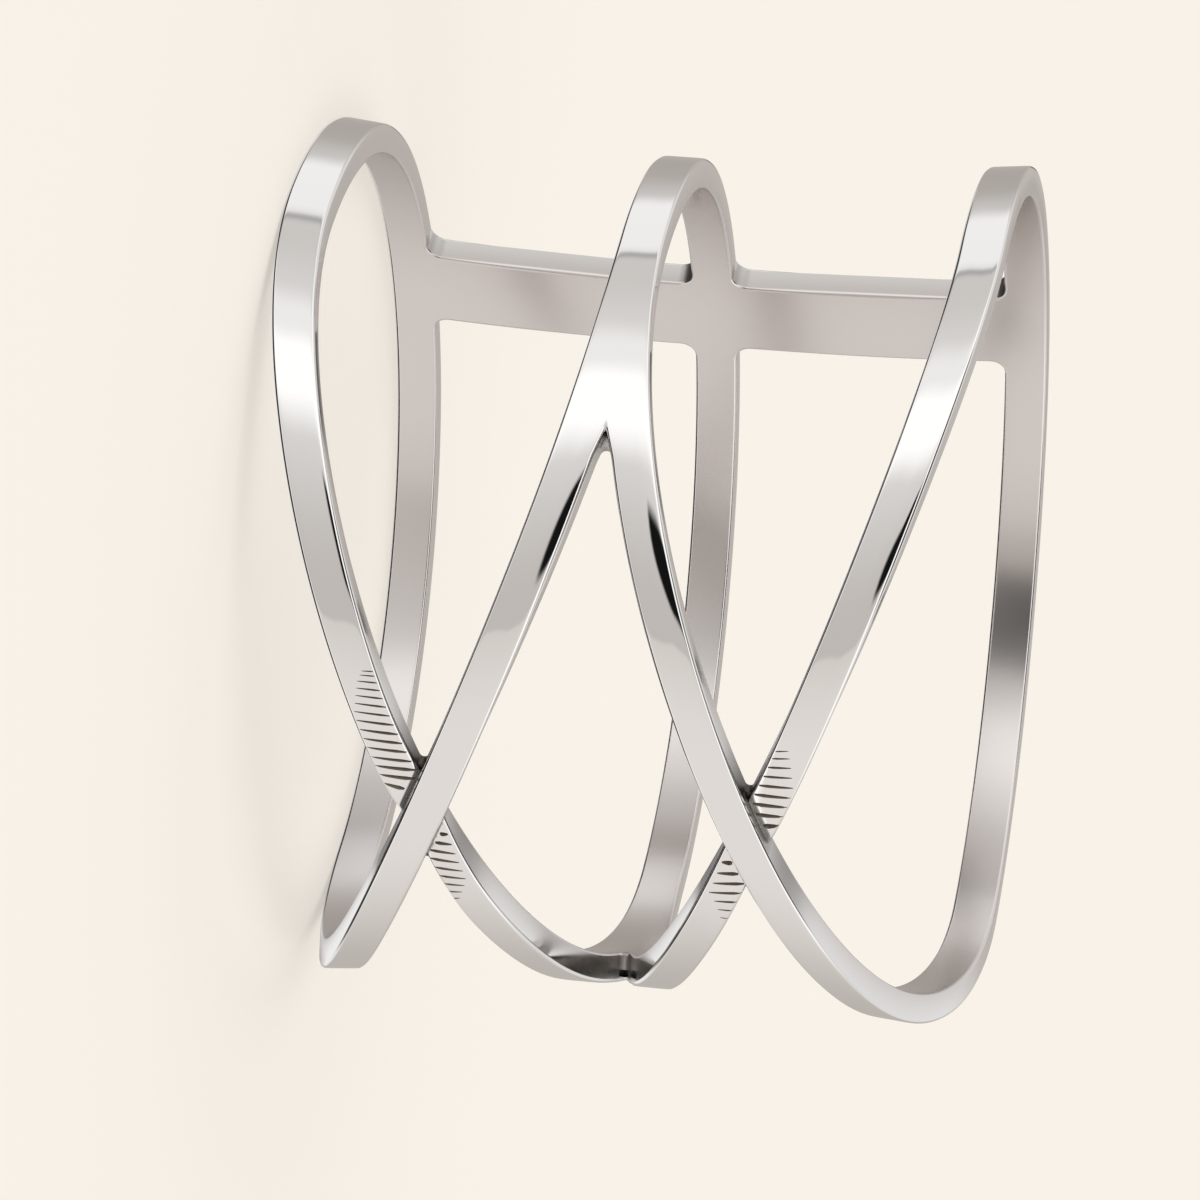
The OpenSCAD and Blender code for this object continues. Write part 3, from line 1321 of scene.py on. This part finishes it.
def graver_stroke(tree: Any, at: dict[str, Any]) -> Any:
    """Add the shape that one push of a pointed graver takes out, along the x axis.

    Args:
        tree: Tree to add to.
        at: The tree's inputs by name.

    Returns:
        Node with the shape, 1 long, which swells at first and then runs out fine.
    """
    add = partial(add_node, tree)
    bar = add("GeometryNodeMeshCylinder", {"Vertices": 4, "Side Segments": 8, "Radius": 1.0,
                                           "Depth": 1.0})
    across, side, along = add(SPLIT, add(PLACE)).outputs
    # The graver goes in with half its width, and with all of it from a quarter of the way on
    left = add(MATH, 0.5, along, operation="SUBTRACT")
    gone = add(MATH, 1.0, left, operation="SUBTRACT")
    swell = add(MATH, gone, 2.0, 0.5, operation="MULTIPLY_ADD")
    swell = add(MATH, swell, 1.0, operation="MINIMUM")
    fade = add(MATH, left, FINEST, operation="MAXIMUM")
    fade = add(MATH, fade, at["Taper"], operation="POWER")
    fade = add(MATH, fade, swell, operation="MULTIPLY")
    half = add(MATH, at["Width"], 0.5, operation="MULTIPLY")
    half = add(MATH, half, fade, operation="MULTIPLY")
    deep = add(MATH, at["Depth"], fade, operation="MULTIPLY")
    shaped = add(COMBINE, along, add(MATH, side, half, operation="MULTIPLY"),
                 add(MATH, across, deep, operation="MULTIPLY"))
    return add(MOVE, {"Geometry": bar, "Position": shaped})


def hatch_tree() -> Any:
    """Build the tree that sets graver strokes between two rails and wraps them.

    Returns:
        The tree.
    """
    tree, at = new_tree(
        "Hatch", Geometry=("Rails",), Object=("Surface",), Int=("Count", "Seed"),
        Float=("Crowding", "Width", "Depth", "First Size", "Last Size", "Taper", "Unevenness",
               *WRAP), Material=("Material",))
    add = partial(add_node, tree)
    place = add(PLACE)
    last = add(MATH, at["Count"], 1.0, operation="SUBTRACT")
    share = add(MATH, add("GeometryNodeInputIndex"), last, operation="DIVIDE")
    share = add(MATH, share, at["Crowding"], operation="POWER")
    slot = add(MATH, share, float(RAIL_POINTS - 1), operation="MULTIPLY")
    slot = add(MATH, slot, operation="ROUND")
    far_slot = add(MATH, slot, float(RAIL_POINTS), operation="ADD")
    near, far = (add("GeometryNodeSampleIndex",
                     {"Geometry": at["Rails"], "Value": place, "Index": number},
                     data_type="FLOAT_VECTOR", domain="POINT") for number in (slot, far_slot))
    run = add(VECTOR_MATH, far, near, operation="SUBTRACT")
    half = add(VECTOR_MATH, run, (0.5, 0.5, 0.5), operation="MULTIPLY")
    middle = add(VECTOR_MATH, near, half, operation="ADD")
    length = add(VECTOR_MATH, run, operation="LENGTH").outputs["Value"]
    set_out = add(MOVE, {"Geometry": add("GeometryNodePoints", at["Count"]),
                         "Position": middle})
    turn = add("FunctionNodeAxesToRotation", run, (0.0, 0.0, 1.0), primary_axis="X",
               secondary_axis="Z")
    low = add(MATH, 1.0, at["Unevenness"], operation="SUBTRACT")
    hand = add("FunctionNodeRandomValue", {"Seed": at["Seed"], 2: low, 3: 1.0},
               data_type="FLOAT").outputs[1]
    # The lines far from the crossing are the finest, and towards it each is cut harder
    growth = add(MAP_RANGE, share, 0.0, 1.0, at["First Size"], at["Last Size"])
    force = add(MATH, hand, growth, operation="MULTIPLY")
    strokes = add("GeometryNodeInstanceOnPoints", {
        "Points": set_out, "Instance": graver_stroke(tree, at), "Rotation": turn,
        "Scale": add(COMBINE, length, force, force)})
    # Each stroke follows the strand's face: a ray from above finds the height below it
    surface = add("GeometryNodeObjectInfo", {"Object": at["Surface"]}).outputs["Geometry"]
    above = add(VECTOR_MATH, place, (1.0, 1.0, 0.0), operation="MULTIPLY")
    above = add(VECTOR_MATH, above, (0.0, 0.0, LOOK_FROM), operation="ADD")
    ray = add("GeometryNodeRaycast", {
        "Target Geometry": surface, "Source Position": above,
        "Ray Direction": (0.0, 0.0, -1.0), "Ray Length": 2 * LOOK_FROM})
    height = add(SPLIT, ray.outputs["Hit Position"]).outputs[2]
    draped = add(MOVE, {"Geometry": add(REALIZE, strokes),
                        "Offset": add(COMBINE, 0.0, 0.0, height)})
    return finish_tree(tree, wrap(tree, draped, at), at["Material"])


# Finishes

def linear(hex_colour: str, share: float = 1.0) -> tuple[float, ...]:
    """Turn an sRGB hex colour, or a share of its light, to a shader's linear values."""
    parts = [int(hex_colour[i:i + 2], 16) / 255 for i in (1, 3, 5)]
    return *(share * (v / 12.92 if v <= 0.04045 else ((v + 0.055) / 1.055) ** 2.4)
             for v in parts), 1.0


def in_mm(tree: Any, *per_mm: float) -> Any:
    """Give object coordinates as a count of a pattern's cells, from cells in a millimetre."""
    place = add_node(tree, "ShaderNodeTexCoord").outputs["Object"]
    return add_node(tree, VECTOR_MATH, place, [n / MM for n in per_mm], operation="MULTIPLY")


class Finish(ABC):
    """How a surface was made, and what that gives the eye."""

    name: str

    @abstractmethod
    def shading(self, tree: Any) -> dict[str, Any]:
        """Build the finish's nodes, and give the shader's inputs by name."""

    def build(self) -> bpy.types.Material:
        """Build the material.

        Returns:
            The material.
        """
        material = bpy.data.materials.new(self.name)
        material.use_nodes = True
        tree = material.node_tree
        tree.nodes.clear()
        shader = add_node(tree, "ShaderNodeBsdfPrincipled", self.shading(tree))
        add_node(tree, "ShaderNodeOutputMaterial", shader)
        return material


@dataclass(frozen=True)
class PolishedSilver(Finish):
    """Cast sterling silver, cut down with stones and buffed on a wheel to a mirror.

    The buff leaves faces that are very slightly uneven, so reflections bend a little along
    them. It reaches the finger hole less well and the narrow corners not at all, so both are
    rougher. Painted shade darkens the hole a little and turns the narrow corners brown.
    """

    name: str = "buffed_sterling_silver"
    colour: str = "#D8D6D4"
    # Painted shade: the finger hole's darker colour
    inner_shade_colour: str = "#CBC6C3"
    # Painted shade: brown for the narrow corners
    corner_shade_colour: str = "#4A413A"
    roughness: float = 0.035
    inner_roughness: float = 0.24
    corner_roughness: float = 0.42
    wave_height: float = 0.012

    def shading(self, tree: Any) -> dict[str, Any]:
        """Build the finish's nodes.

        Args:
            tree: The material's tree.

        Returns:
            The shader's inputs by name.
        """
        add = partial(add_node, tree)
        inner, corner_shade = (add("ShaderNodeAttribute", attribute_name=label).outputs["Fac"]
                         for label in (INNER, CORNER_SHADE))
        # Traces of the wheel run round the ring; real ones are 0.005 mm apart, drawn at 0.04
        traces = add(NOISE, {"Vector": in_mm(tree, 1, 1, 12), "Scale": 2.0, "Detail": 2.0})
        haze = add(MAP_RANGE, traces, 0.3, 0.7, self.roughness * 0.7, self.roughness * 1.5)
        satin = add(MAP_RANGE, inner, 0.1, 1.0, haze, self.inner_roughness)
        rough = add(MAP_RANGE, corner_shade, 0.0, 0.35, satin, self.corner_roughness)
        # Painted shade: darker colours mixed in inside the hole and in the narrow corners
        colour: Any = linear(self.colour)
        for share, other in ((inner, self.inner_shade_colour), (corner_shade, self.corner_shade_colour)):
            colour = add(MIX, {0: share, 6: colour, 7: linear(other)},
                         data_type="RGBA").outputs[2]
        # The unevenness: waves about 2 mm long and a hundredth of a millimetre high
        waves = add(NOISE, {"Vector": in_mm(tree, 1, 1, 1), "Scale": 0.5, "Detail": 1.0})
        bump = add("ShaderNodeBump", {"Strength": 1.0, "Distance": self.wave_height * MM,
                                      "Height": waves})
        return {"Base Color": colour, "Metallic": 1.0, "Roughness": rough, "Normal": bump}


@dataclass(frozen=True)
class EngravedCut(Finish):
    """A graver's cut: torn bright by the tool, then left to darken in the air.

    Its floor is too narrow for the buff, so the eye sees a brown line, not a reflection.
    """

    name: str = "oxidised_graver_cut"
    colour: str = "#574C43"
    bright_colour: str = "#776C62"
    metallic: float = 0.6
    roughness: float = 0.45

    def shading(self, tree: Any) -> dict[str, Any]:
        """Build the finish's nodes.

        Args:
            tree: The material's tree.

        Returns:
            The shader's inputs by name.
        """
        # Chatter of the tool, 0.03 mm apart
        chatter = add_node(tree, NOISE, {
            "Vector": in_mm(tree, 1, 1, 1), "Scale": 30.0, "Detail": 1.0})
        colour = add_node(tree, MIX, {0: chatter, 6: linear(self.colour),
                                      7: linear(self.bright_colour)}, data_type="RGBA")
        return {"Base Color": colour.outputs[2], "Metallic": self.metallic,
                "Roughness": self.roughness}


@dataclass(frozen=True)
class Paper(Finish):
    """The studio's floor: a smooth warm white sheet that glows evenly in the light."""

    name: str = "matt_paper"
    colour: str = "#F7F1E8"
    matt: float = 0.5
    glow: float = 0.52

    def shading(self, tree: Any) -> dict[str, Any]:
        """Give the shader's inputs by name."""
        return {"Base Color": linear(self.colour, self.matt), "Roughness": 1.0,
                "Specular IOR Level": 0.0, "Emission Color": linear(self.colour),
                "Emission Strength": self.glow}


# The ring

@dataclass
class OpenworkRing:
    """The one casting, from its flat blank to its dressed mesh."""

    sizes: RingSizes
    silver: PolishedSilver = PolishedSilver()
    cut: EngravedCut = EngravedCut()

    def build(self) -> bpy.types.Object:
        """Build the ring.

        Returns:
            The finished piece.
        """
        casting = Casting(self.sizes)
        blank = casting.blank()
        log.info("blank: %d points, %d faces", len(blank.points), len(blank.faces))
        flat = blank.to_object("ring_blank", self.sizes)
        mesh = run_tree(flat, wrap_tree(), {**wrap_values(self.sizes), "Same Point": SAME,
                                            "Material": self.silver.build()})
        wrapped = link(bpy.data.objects.new("ring_wrapped", mesh))
        cutters = self.strokes(casting.a, flat)
        cut = wrapped.modifiers.new("engraving", "BOOLEAN")
        cut.operation = "DIFFERENCE"
        cut.solver = "EXACT"
        cut.material_mode = "TRANSFER"
        cut.object = cutters
        mesh = bake(wrapped)
        made = bmesh.new()
        made.from_mesh(mesh)
        for spent in (flat, wrapped, cutters):
            bpy.data.objects.remove(spent)
        # Where a stroke's edge meets one of the face's, the Boolean leaves slivers
        bmesh.ops.remove_doubles(made, verts=made.verts, dist=SAME)
        bmesh.ops.triangulate(made, faces=[face for face in made.faces if len(face.verts) > 4])
        made.to_mesh(mesh)
        made.free()
        return self.dress(mesh)

    def strokes(self, strand: Strand, surface: bpy.types.Object) -> bpy.types.Object:
        """Lay out every row of engraved lines.

        Args:
            strand: The lower strand.
            surface: The flat blank, whose face the lines follow.

        Returns:
            One object with the shapes to be taken out.
        """
        tree, material = hatch_tree(), self.cut.build()
        made = bmesh.new()
        for seed, row in enumerate(HATCHING):
            rails = row.rails(strand)
            made.from_mesh(run_tree(rails, tree, {
                **wrap_values(self.sizes), **row.values(), "Surface": surface, "Seed": seed,
                "Material": material}))
            log.info("%s: %d lines", row.name, row.count)
            bpy.data.objects.remove(rails)
        bmesh.ops.recalc_face_normals(made, faces=made.faces)
        joined = bpy.data.meshes.new("strokes")
        made.to_mesh(joined)
        made.free()
        joined.materials.append(material)
        return link(bpy.data.objects.new("strokes", joined))

    def dress(self, mesh: bpy.types.Mesh) -> bpy.types.Object:
        """Bring the mesh to metres and let its corners face as the blank's do.

        Args:
            mesh: The wrapped mesh in millimetres.

        Returns:
            The piece, which stands for the CAD node.
        """
        facing = np.zeros(len(mesh.loops) * 3, np.float32)
        mesh.attributes[FACING].data.foreach_get("vector", facing)
        mesh.attributes.remove(mesh.attributes[FACING])
        facing = facing.reshape(-1, 3)
        for face in mesh.polygons:
            if mesh.materials[face.material_index].name == self.cut.name:
                facing[list(face.loop_indices)] = face.normal
        mesh.transform(Matrix.Scale(MM, 4))
        mesh.shade_smooth()
        mesh.normals_split_custom_set(unit(facing).tolist())
        mesh.name = "openwork_ring"
        piece = link(bpy.data.objects.new("openwork_ring", mesh))
        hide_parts("ring")
        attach(piece, "root")
        return piece


# The studio

@dataclass(frozen=True)
class Card:
    """A lit panel or a dark flag that stands round the ring and shows in its metal.

    Angles are in degrees. Azimuth runs round the ring from its front, towards its -X
    side, and elevation runs up from the floor's level.
    """

    name: str
    azimuth: float
    half_width: float
    side_fade: float
    light: float
    colour: str = "#FFFFFF"
    elevation: float = 0.0
    half_height: float = 90.0
    end_fade: float = 1.0

    def cover(self, tree: Any, azimuth: Any, elevation: Any) -> Any:
        """Add the nodes for the share of the card in each direction.

        Args:
            tree: The world's tree.
            azimuth: Node with the direction's azimuth.
            elevation: Node with its elevation.

        Returns:
            Node that is 1 on the card and 0 off it.
        """
        add = partial(add_node, tree)
        aside = add(MATH, azimuth, self.azimuth, operation="SUBTRACT")
        aside = add(MATH, aside, 180.0, -180.0, operation="WRAP")
        above = add(MATH, elevation, self.elevation, operation="SUBTRACT")
        shares = []
        for offset, half, fade in ((aside, self.half_width, self.side_fade),
                                   (above, self.half_height, self.end_fade)):
            shares.append(add(MAP_RANGE, add(MATH, offset, operation="ABSOLUTE"),
                              half - fade / 2, half + fade / 2, 1.0, 0.0,
                              interpolation_type="SMOOTHSTEP"))
        return add(MATH, *shares, operation="MULTIPLY")


# Where a card lies over an earlier one, it hides it. The first ones stand at full height
CARDS = (
    Card("front_wash", -28, 57, 84, 1.07, "#FFFBF8"),
    Card("wash_edge", 74.75, 56.25, 2, 0.75, "#FFFAF6"),
    Card("key_skirt", 86, 30, 60, 1.05),
    Card("key_strip", 84, 12.5, 14, 1.5),
    Card("key_tail", 100, 5, 10, 1.22),
    Card("rim_skirt", 149.5, 16, 30, 0.95),
    Card("rim_strip", 147, 13, 8, 1.24),
    Card("strip_frame", 133, 1.1, 2.0, 0.58),
    Card("grey_flag", 208, 24, 30, 0.50, "#FFF7F1", elevation=-9, half_height=12, end_fade=8),
    Card("low_glow", 30, 105, 40, 1.5, elevation=-42, half_height=11, end_fade=6),
    Card("dark_bench", -142, 70, 30, 0.06, elevation=-66, half_height=26, end_fade=10),
    Card("low_wall", -142, 50, 40, 1.0, elevation=-28, half_height=8, end_fade=8),
    Card("side_bench", 163, 30, 24, 0.06, elevation=-44, half_height=22, end_fade=8),
    Card("high_glow", 30, 105, 40, 1.5, elevation=45, half_height=17, end_fade=10),
    Card("back_wall", -142, 60, 40, 1.0, elevation=45, half_height=24, end_fade=20),
    Card("horizon_gap", -148.5, 5.5, 4, 0.10, elevation=1.2, half_height=2.0, end_fade=2.5),
    Card("dark_floor_hatch", 0, 181, 1, 0.06, elevation=-71, half_height=25, end_fade=6),
    Card("dark_ceiling", 0, 181, 1, 0.08, elevation=83, half_height=17, end_fade=6),
    Card("lens_and_hood", 43.5, 14.5, 6, 0.01, elevation=16.5, half_height=14, end_fade=4),
)


@dataclass(frozen=True)
class Studio:
    """Floor, light and camera, as in the photograph."""

    paper: Paper = Paper()
    wall_light: float = 0.59
    wall_colour: str = "#FFF7F1"
    floor_half: float = 2.0
    eye: tuple[float, float, float] = (-80.648, -103.692, 27.172)
    aim: tuple[float, float, float] = (0.476, -0.608, 6.646)
    roll: float = 94.79
    lens: float = 176.866
    sensor: float = 36.0
    clip: tuple[float, float] = (0.005, 20.0)

    def build(self) -> None:
        """Set up the whole studio."""
        self.lay_floor()
        self.light()
        self.place_camera()

    def lay_floor(self) -> None:
        """Lay the paper under the ring."""
        h = self.floor_half
        mesh = bpy.data.meshes.new("floor")
        mesh.from_pydata([(-h, -h, 0), (h, -h, 0), (h, h, 0), (-h, h, 0)], [], [(0, 1, 2, 3)])
        mesh.materials.append(self.paper.build())
        floor = link(bpy.data.objects.new("floor", mesh))
        floor.visible_glossy = False

    def light(self) -> None:
        """Stand the cards round the ring, in the world's light."""
        world = bpy.data.worlds.new("studio")
        world.use_nodes = True
        world.node_tree.nodes.clear()
        add = partial(add_node, world.node_tree)
        x, y, z = add(SPLIT, add("ShaderNodeTexCoord").outputs["Generated"]).outputs
        back = [add(MATH, part, -1.0, operation="MULTIPLY") for part in (x, y)]
        azimuth = add(MATH, add(MATH, *back, operation="ARCTAN2"), operation="DEGREES")
        elevation = add(MATH, add(MATH, z, operation="ARCSINE"), operation="DEGREES")
        colour: Any = linear(self.wall_colour, self.wall_light)
        for card in CARDS:
            share = card.cover(world.node_tree, azimuth, elevation)
            colour = add(MIX, {0: share, 6: colour, 7: linear(card.colour, card.light)},
                         data_type="RGBA", label=card.name).outputs[2]
        add("ShaderNodeOutputWorld", add("ShaderNodeBackground", colour, 1.0))
        bpy.context.scene.world = world

    def place_camera(self) -> None:
        """Set the camera where the photographer's was, turned as it was."""
        data = bpy.data.cameras.new("camera")
        data.lens, data.sensor_width = self.lens, self.sensor
        data.clip_start, data.clip_end = self.clip
        camera = link(bpy.data.objects.new("camera", data))
        eye, aim = Vector(self.eye) * MM, Vector(self.aim) * MM
        look = (aim - eye).to_track_quat("-Z", "Y").to_matrix().to_4x4()
        roll = Matrix.Rotation(math.radians(self.roll), 4, "Z")
        camera.matrix_world = Matrix.Translation(eye) @ look @ roll
        bpy.context.scene.camera = camera
        bpy.context.scene.view_settings.view_transform = "Standard"


def main() -> None:
    """Build the ring and its studio."""
    logging.basicConfig(level=logging.INFO, format="%(message)s")
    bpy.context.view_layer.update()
    piece = OpenworkRing(RingSizes.load(frame["record"])).build()
    log.info("%s: %d triangles", piece.name, sum(len(p.vertices) - 2 for p in piece.data.polygons))
    Studio().build()


if __name__ == "__main__":
    main()
